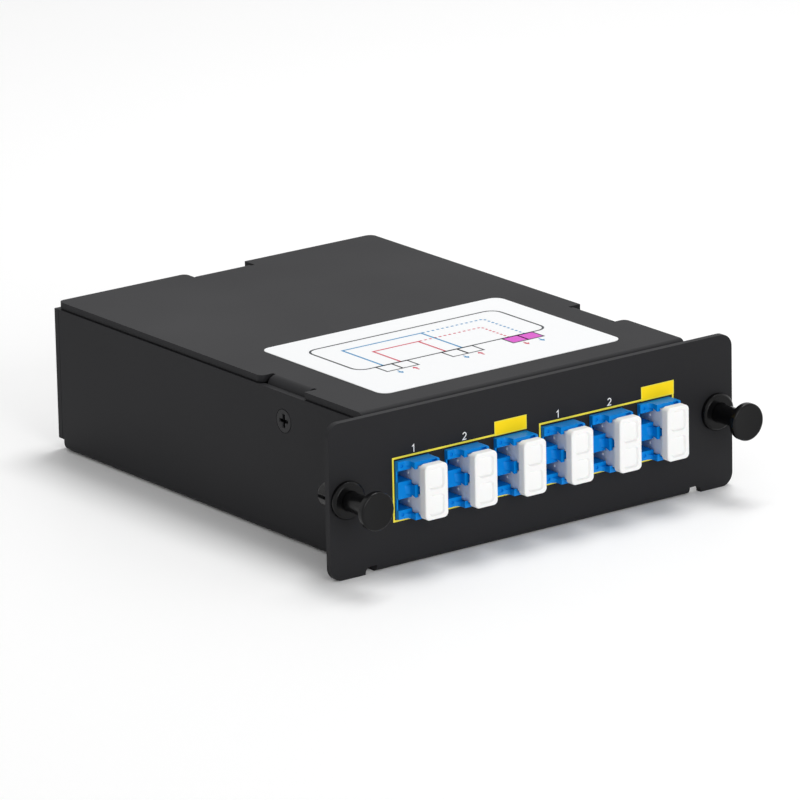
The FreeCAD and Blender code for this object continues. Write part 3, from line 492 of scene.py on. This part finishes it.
def latch_nylon(paint):
    """Black nylon from a polished mould: deep black with a clear highlight on every edge."""
    material, tree, surface = finish("moulded_black_nylon", paint.nylon, 0.24, specular=0.17)
    vary(tree, surface, "Roughness", noise(tree, 3), 0.18, 0.28)
    return material


def ink(name, colour):
    """Screen ink: nearly matt, with pinholes of the mesh at about 0.2 mm."""
    material, tree, surface = finish(name, colour, 0.55, specular=0.2)
    raise_surface(tree, surface, noise(tree, 0.2), 0.004 * MM, strength=0.4)
    return material


def label_film(paint):
    """Polyester label film: smooth white with a soft sheen and a slight ripple of the adhesive."""
    material, tree, surface = finish("white_polyester_film", paint.film, 0.35)
    raise_surface(tree, surface, noise(tree, 9), 0.02 * MM, strength=0.3)
    return material


def spring_steel():
    """Bright rolled spring steel, with the grain of the rolls drawn along X."""
    material, tree, surface = finish("bright_spring_steel", "#B9BBBD", 0.25, metallic=1.0)
    grain = node(tree, "Mapping", {"Vector": place_in(tree), "Scale": (40, 1400, 1400)})
    lines = node(tree, "TexNoise", {"Vector": grain.outputs[0], "Scale": 1.0})
    vary(tree, surface, "Roughness", lines.outputs["Fac"], 0.18, 0.36)
    return material


def zirconia():
    """Ground zirconia: white, dense and glossy, with faint grinding marks."""
    material, tree, surface = finish("ground_zirconia", "#EDECE6", 0.15, subsurface=0.1)
    vary(tree, surface, "Roughness", noise(tree, 0.1), 0.12, 0.22)
    return material


def guide_plastic():
    """Black ABS of the fibre guides and splitter holder, with a fine sparked texture."""
    material, tree, surface = finish("sparked_black_abs", "#1B1B1D", 0.5)
    raise_surface(tree, surface, noise(tree, 0.5), 0.02 * MM, strength=0.5)
    return material


def fibre_bundle():
    """Bundle of buffered fibres: yellow, with soft ridges stacked along Z."""
    material, tree, surface = finish("yellow_buffered_fibre", "#E8C62C", 0.35, subsurface=0.1)
    turns = node(tree, "TexWave", {"Vector": place_in(tree), "Scale": 1 / (6 * MM)},
                 bands_direction="Z")
    raise_surface(tree, surface, turns.outputs["Fac"], 0.2 * MM, strength=0.6)
    return material


def paint_all(items, material):
    """Give one material to several objects."""
    for item in items:
        item.data.materials.clear()
        item.data.materials.append(material)


# ---------------------------------------------------------------- the pieces

class CassetteStep(bpy.types.Operator):
    """Shared base of the steps that build the dressed model."""
    bl_idname = "cassette.step"
    bl_label = "Cassette step"
    bl_options = {"REGISTER", "UNDO"}

    def execute(self, context):
        self.build(context.scene.cassette_paint, context.scene.cassette_sizes)
        return {"FINISHED"}


class CASSETTE_OT_steel(CassetteStep):
    """Folded tray and cover with their coated edges, and the three cover screws."""
    bl_idname = "cassette.steel"
    bl_label = "Folded steel"

    def build(self, paint, sizes):
        coat = powder_coat(paint)
        shells = [softened(name, sizes.steel_edge, "root")
                  for name in ("base_tray", "top_cover")]
        round_corners(shells[1], sizes.cover_corner)
        paint_all(shells, coat)
        screws = [softened(f"cover_screw_{end}", sizes.screw_edge, "root")
                  for end in ("left", "right", "rear")]
        paint_all(screws, black_zinc(paint))


class CASSETTE_OT_adapters(CassetteStep):
    """Adapter housings with moulded edges."""
    bl_idname = "cassette.adapters"
    bl_label = "Adapters"

    def build(self, paint, sizes):
        shells = [softened(f"adapter_{number}", sizes.plastic_edge, "root")
                  for number in ADAPTERS]
        paint_all(shells, adapter_blue(paint))


def cap_samples(half, edge):
    """Grid places from -half to half: close together over the rounded edge, even between."""
    bend = half - edge * (1 - np.cos(np.linspace(0, np.pi / 2, 6)))
    inner = bend[-1]
    flat = np.linspace(-inner, inner, int(2 * inner / CAP_GRID) + 1)
    return np.concatenate([-bend[:-1], flat, bend[-2::-1]])


def rounded_distance(x, z, wide, tall, radius):
    """Distance inside a rounded rectangle about the origin, negative outside.

    It is radius less the length of what is left of (|x|, |z|) past the corner's centre.
    """
    past = np.stack([np.abs(x) - (wide / 2 - radius), np.abs(z) - (tall / 2 - radius)])
    outside = np.hypot(*np.maximum(past, 0))
    return radius - outside - np.minimum(np.max(past, 0), 0)


def cap_block(low, high, sizes):
    """Closed block of a cap between two corners.

    The reach of a grid point (u, v) is 0 in the middle and 1 on the square rim.  The rim is
    pulled in to the rounded outline, and the points inside follow by the sixth power of
    their reach.  The face rounds off over the last `cap_edge`, and sinks by the smooth step
    of the distance inside each dish; the back is flat, and one band joins the two.
    """
    centre, size = (low + high) / 2, high - low
    wide, tall = size.x / 2, size.z / 2
    radius, edge = sizes.cap_corner, sizes.cap_edge
    u, v = np.meshgrid(cap_samples(wide, edge), cap_samples(tall, edge), indexing="ij")
    reach = np.maximum(np.abs(u) / wide, np.abs(v) / tall)
    rim_u, rim_v = u / np.maximum(reach, TINY), v / np.maximum(reach, TINY)
    past = np.stack([np.abs(rim_u) - (wide - radius), np.abs(rim_v) - (tall - radius)])
    corner = (past > 0).all(0)
    length = np.hypot(*np.where(past > 0, past, 0))
    pull = np.where(corner, radius / np.maximum(length, TINY), 1.0)
    keep_u = np.sign(rim_u) * (np.abs(rim_u) - np.where(corner, past[0] * (1 - pull), 0))
    keep_v = np.sign(rim_v) * (np.abs(rim_v) - np.where(corner, past[1] * (1 - pull), 0))
    near = reach ** 6
    x = u + (keep_u * reach - u) * near
    z = v + (keep_v * reach - v) * near
    inside = np.clip(rounded_distance(x, z, size.x, size.z, radius), 0, edge)
    face = edge - np.sqrt(np.maximum(edge ** 2 - (edge - inside) ** 2, 0))
    for port in PORTS:
        share = rounded_distance(x, z - port * DISH_PITCH, DISH_WIDE, DISH_TALL, DISH_CORNER)
        share = np.clip(share / sizes.dish_slope, 0, 1)
        face = face + sizes.dish_deep * share * share * (3 - 2 * share)
    front = np.stack([x + centre.x, low.y + face, z + centre.z], -1)
    back = np.stack([x + centre.x, np.full_like(x, high.y), z + centre.z], -1)
    return closed_sheets(front, back)


def prong(x, z, back, tip):
    """Square prong along Y with rounded edges, a chamfered tip and a blind round bore."""
    half = PRONG_WIDE / 2
    outer = rounded_box(-half, -half, half, half, PRONG_EDGE, 5)
    angle = np.arctan2(outer[:, 1], outer[:, 0])
    bore = PRONG_BORE * np.column_stack([np.cos(angle), np.sin(angle)])
    slim = 1 - PRONG_TAPER * PRONG_LEAD / half
    rows = [(outer, back), (outer, tip - PRONG_LEAD), (outer * slim, tip), (bore, tip),
            (bore, tip - PRONG_DEEP)]
    rings = [np.column_stack([x + ring[:, 0], np.full(len(ring), y), z + ring[:, 1]])
             for ring, y in rows]
    return loft(rings)


def nub(x, y, z, around=24, rows=6):
    """Grip nub on the latch side of a prong: a low dome that rises along -X."""
    angle = np.linspace(0, 2 * np.pi, around, endpoint=False)
    rings = []
    for turn in np.linspace(0, np.pi / 2, rows)[:-1]:
        radius = NUB_RADIUS * np.cos(turn)
        rings.append(np.column_stack([np.full(around, x - NUB_RISE * np.sin(turn)),
                                      y + radius * np.cos(angle), z + radius * np.sin(angle)]))
    tip = np.repeat([[x - NUB_RISE, y, z]], around, 0)
    return loft([*rings, tip])


class CASSETTE_OT_caps(CassetteStep):
    """Dust caps: dished face block and two prongs with their grip nubs."""
    bl_idname = "cassette.caps"
    bl_label = "Dust caps"

    def build(self, paint, sizes):
        white = cap_white(paint)
        for number in ADAPTERS:
            node_name = f"dust_cap_{number}"
            low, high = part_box(node_name)
            back = low.y + CAP_THICK
            middle = (low.z + high.z) / 2
            x = high.x - CAP_WIDE / 2 + PRONG_SHIFT
            shapes = [cap_block(Vector((high.x - CAP_WIDE, low.y, low.z)),
                                Vector((high.x, back, high.z)), sizes)]
            for port in PORTS:
                z = middle + port * PLUG_PITCH
                shapes.append(prong(x, z, back - PRONG_ROOT, high.y))
                shapes.append(nub(x - PRONG_WIDE / 2, PANEL_FACE + NUB_BEHIND, z))
            item = add_object(f"cap_{number}_shell", *joined(shapes), node_name, "white_cap")
            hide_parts(node_name)
            keep_crisp(item)
            paint_all([item], white)


class CASSETTE_OT_latches(CassetteStep):
    """Push-pull latches: the flanged grommets and the plungers with their broad heads."""
    bl_idname = "cassette.latches"
    bl_label = "Latches"

    def build(self, paint, sizes):
        nylon = latch_nylon(paint)
        for side in SIDES:
            grommet = softened(f"latch_grommet_{side}", sizes.latch_edge, "root")
            name = f"latch_plunger_{side}"
            low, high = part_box(name)
            centre = (low + high) / 2
            profile = plunger_profile(low.y, high.y, (high.z - low.z) / 2)
            plunger = add_object(f"{name}_shell", *lathe(profile, centre.x, centre.z), name,
                                 "black_nylon")
            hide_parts(name)
            keep_crisp(plunger)
            paint_all([grommet, plunger], nylon)


def plunger_profile(face, tip, knob):
    """(y, r) of a plunger from the head's middle to the pin's tip.

    The rows are (y, r, rounding in mm): the slightly dished head, its rim, the flare down to
    the stem, the shoulder and the pin.
    """
    shoulder = PANEL_FACE + SHOULDER_BEHIND
    rows = ((face + HEAD_DISH, 0, 0),
            (face + DISH_SIDE, 0.55 * knob, 0),
            (face, 0.86 * knob, 0.5),
            (face, knob, 0.4),
            (face + HEAD_THICK, knob, 0.35),
            (face + HEAD_THICK + HEAD_FLARE, STEM_RADIUS, 1.2),
            (shoulder, STEM_RADIUS, 0.1),
            (shoulder, PIN_RADIUS, 0.1),
            (tip, PIN_RADIUS, 0.35),
            (tip, 0, 0))
    y, r, rounding = np.array(rows).T
    return arcs(np.column_stack([y, r]), rounding * MM, 8)


def add_prints(prints):
    """One object for each printed colour, from (name, shapes, name of its ink, colour)."""
    for name, shapes, ink_name, colour in prints:
        item = add_object(name, *joined(shapes), "root", "printed_film", False)
        paint_all([item], ink(ink_name, colour))


class CASSETTE_OT_panel_print(CassetteStep):
    """Yellow frames and tags round the ports, and plain port numbers over them."""
    bl_idname = "cassette.panel_print"
    bl_label = "Panel printing"

    def build(self, paint, sizes):
        level = (INK_BEHIND, -sizes.ink)
        frames = [ribbon(metres(path), sizes.frame_line, on_panel, *level)
                  for path in FRAME_LINES]
        tags = []
        for tag in TAGS:
            box = metres(rounded_box(*tag, 0))
            tags.append(plate(box, on_panel, *level))
            border = box + np.sign(box.mean(0) - box) * sizes.frame_line / 4
            frames.append(ribbon(border, sizes.frame_line / 2, on_panel, INK_BEHIND,
                                 -1.5 * sizes.ink, True))
        numbers = [ribbon(digit(figure, sizes.digit_tall) + metres(place),
                          sizes.digit_stroke, on_panel, *level) for figure, place in NUMBERS]
        prints = (("panel_frames", frames, "yellow_frame_ink", paint.frame_ink),
                  ("panel_tags", tags, "yellow_tag_ink", paint.yellow),
                  ("panel_numbers", numbers, "white_ink", paint.white))
        add_prints(prints)


def digit(figure, tall):
    """Centre line of a plain 1 or 2 over the origin, drawn in shares of its height."""
    if figure == 1:
        return np.array([(-0.2, 0.78), (0.08, 1.0), (0.08, 0.0)]) * tall
    angle = np.radians(np.linspace(165, -38, 14))
    bowl = np.column_stack([0.27 * np.cos(angle), 0.72 + 0.28 * np.sin(angle)])
    return np.vstack([bowl, [(-0.28, 0.06), (0.3, 0.06)]]) * tall


class CASSETTE_OT_label(CassetteStep):
    """Wiring label: white film with the outline, ports and routes of the diagram, no words."""
    bl_idname = "cassette.label"
    bl_label = "Wiring label"

    def build(self, paint, sizes):
        low, high = LABEL_LOW, LABEL_HIGH
        top = high.z - sizes.ink
        outline = rounded_box(low.x, low.y - PANEL_FACE, high.x, high.y - PANEL_FACE,
                              sizes.label_corner, 10)
        film = add_object("label_sheet", *plate(outline, on_label, low.z, top), "root",
                          "printed_film", False)
        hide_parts("wiring_label")
        paint_all([film], label_film(paint))
        root = top - 0.1 * sizes.ink
        level = (root, high.z)
        wide = sizes.route_line
        ports = [port_box(left) for left in (*LINE_PORTS, *TAP_PORTS)]
        grey = [ribbon(metres(rounded_box(*DIAGRAM, DIAGRAM_CORNER)), wide, on_label, *level,
                       True)]
        grey += [ribbon(box, PORT_LINE * wide, on_label, *level, True) for box in ports]
        taps = [plate(port_box(left), on_label, root, top + 0.5 * sizes.ink)
                for left in TAP_PORTS]
        prints = (("label_outline", grey, "grey_ink", paint.line),
                  ("label_red", wiring("red", wide, level), "red_ink", paint.red),
                  ("label_blue", wiring("blue", wide, level), "blue_ink", paint.blue),
                  ("label_tap", taps, "pink_ink", paint.pink))
        add_prints(prints)


def port_box(left):
    """Outline of one port of the diagram, from its left side."""
    return metres(rounded_box(left, PORT_NEAR, left + PORT_WIDE, PORT_FAR, 0))


def arrow(x, tail, tip):
    """Outline of an arrow along Y: a shaft 0.4 mm wide with a head 1.4 by 1.1 mm."""
    shaft, head, length = 0.2, 0.7, 1.1
    neck = tip - math.copysign(length, tip - tail)
    return metres([(x - shaft, tail), (x + shaft, tail), (x + shaft, neck), (x + head, neck),
                   (x, tip), (x - head, neck), (x - shaft, neck)])


def wiring(colour, width, level):
    """Arrows, routes and dashed routes of one colour on the label."""
    shapes = [plate(arrow(left + PORT_WIDE / 2, tail, tip), on_label, *level)
              for left, (inked, tail, tip) in zip((*LINE_PORTS, *TAP_PORTS), ARROWS)
              if inked == colour]
    shapes += [ribbon(metres(path), width, on_label, *level) for path in ROUTES[colour]]
    for path in DASHED_ROUTES[colour]:
        for start, end in zip(path, path[1:]):
            shapes += dashes(metres(start), metres(end), width, level)
    return shapes


def dashes(start, end, width, level):
    """Short dashes from a start to an end, each half as long as its pitch."""
    count = max(int(np.linalg.norm(end - start) / (DASH_PITCH * MM)), 1)
    step = (end - start) / count
    return [ribbon([start + step * (index + 0.25), start + step * (index + 0.75)], width,
                   on_label, *level) for index in range(count)]


class CASSETTE_OT_inner_parts(CassetteStep):
    """Finishes of the parts inside the box, which are shown as their solids."""
    bl_idname = "cassette.inner_parts"
    bl_label = "Inner parts"

    def build(self, paint, sizes):
        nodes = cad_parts

        def named(*words):
            return [item for name, item in nodes.items() if name.startswith(words)]

        paint_all(named("adapter_clip", "tap_splitter"), spring_steel())
        paint_all(named("alignment_sleeves"), zirconia())
        paint_all(named("fibre_plugs"), adapter_blue(paint))
        paint_all(named("fibre_guide", "splitter_holder"), guide_plastic())
        paint_all(named("fibre_coil"), fibre_bundle())


# ---------------------------------------------------------------- stage, lights and camera

class CASSETTE_OT_stage(CassetteStep):
    """Pale floor, soft lights and the camera."""
    bl_idname = "cassette.stage"
    bl_label = "Stage"

    def build(self, paint, sizes):
        reach = FLOOR_REACH
        corners = [(-reach, -reach, 0), (reach, -reach, 0), (reach, reach, 0),
                   (-reach, reach, 0)]
        mesh = bpy.data.meshes.new("floor")
        mesh.from_pydata(corners, [], [(0, 1, 2, 3)])
        floor = bpy.data.objects.new("floor", mesh)
        bpy.context.scene.collection.objects.link(floor)
        paint_all([floor], finish("floor_paper", "#FFFFFF", 0.6)[0])
        light_world()
        for name, (place, width, power) in LAMPS.items():
            add_lamp(name, place, width, power)
        add_camera()


def light_world():
    """Even studio light; camera, glossy and transmission rays see it as white."""
    world = bpy.data.worlds.new("studio")
    bpy.context.scene.world = world
    world.use_nodes = True
    tree = world.node_tree
    tree.nodes.clear()
    path = node(tree, "LightPath").outputs
    white = node(tree, "Background", {"Color": (1, 1, 1, 1), "Strength": 1.0})
    soft = node(tree, "Background", {"Color": (1, 1, 1, 1), "Strength": AMBIENT})
    seen = path["Is Camera Ray"]
    for other in ("Is Glossy Ray", "Is Transmission Ray"):
        seen = node(tree, "Math", {0: seen, 1: path[other]}, operation="MAXIMUM").outputs[0]
    mix = node(tree, "MixShader", {0: seen, 1: soft.outputs[0], 2: white.outputs[0]})
    node(tree, "OutputWorld", {"Surface": mix.outputs[0]})


def add_lamp(name, place, width, power):
    """Square soft light that looks from a place at the part."""
    lamp = bpy.data.lights.new(name, "AREA")
    lamp.size = width
    lamp.energy = power
    item = bpy.data.objects.new(name, lamp)
    item.location = place
    aim = Vector(LAMP_TARGET) - Vector(place)
    item.rotation_euler = aim.to_track_quat("-Z", "Y").to_euler()
    bpy.context.scene.collection.objects.link(item)


def add_camera():
    """Long lens, turned, dipped and rolled in that order from looking along +Y."""
    data = bpy.data.cameras.new("camera")
    data.lens = CAMERA_LENS
    data.sensor_width = CAMERA_SENSOR
    data.clip_end = 50
    item = bpy.data.objects.new("camera", data)
    turn = Matrix.Rotation(math.radians(-CAMERA_TURN), 4, "Z")
    dip = Matrix.Rotation(math.radians(90 - CAMERA_DIP), 4, "X")
    roll = Matrix.Rotation(math.radians(CAMERA_ROLL), 4, "Z")
    item.matrix_world = Matrix.Translation(CAMERA_PLACE) @ turn @ dip @ roll
    bpy.context.scene.collection.objects.link(item)
    bpy.context.scene.camera = item


class CASSETTE_PT_steps(bpy.types.Panel):
    """Sizes, colours and steps of the cassette."""
    bl_idname = "CASSETTE_PT_steps"
    bl_label = "Fibre cassette"
    bl_space_type = "VIEW_3D"
    bl_region_type = "UI"
    bl_category = "Cassette"

    def draw(self, context):
        for group in (context.scene.cassette_sizes, context.scene.cassette_paint):
            for name in type(group).__annotations__:
                self.layout.prop(group, name)
        for step in STEPS:
            self.layout.operator(step.bl_idname)


STEPS = (CASSETTE_OT_steel, CASSETTE_OT_adapters, CASSETTE_OT_caps, CASSETTE_OT_latches,
         CASSETTE_OT_panel_print, CASSETTE_OT_label, CASSETTE_OT_inner_parts, CASSETTE_OT_stage)
CLASSES = (CassettePaint, CassetteSizes, *STEPS, CASSETTE_PT_steps)


def register():
    """Register the classes and hang their settings on the scene."""
    for item in CLASSES:
        bpy.utils.register_class(item)
    bpy.types.Scene.cassette_paint = bpy.props.PointerProperty(type=CassettePaint)
    bpy.types.Scene.cassette_sizes = bpy.props.PointerProperty(type=CassetteSizes)


def unregister():
    """Take the settings and the classes away again."""
    del bpy.types.Scene.cassette_sizes
    del bpy.types.Scene.cassette_paint
    for item in reversed(CLASSES):
        bpy.utils.unregister_class(item)


def main():
    """Run every step in order."""
    register()
    bpy.context.scene.view_settings.view_transform = "Standard"
    for step in STEPS:
        group, name = step.bl_idname.split(".")
        getattr(getattr(bpy.ops, group), name)()


if __name__ == "__main__":
    main()
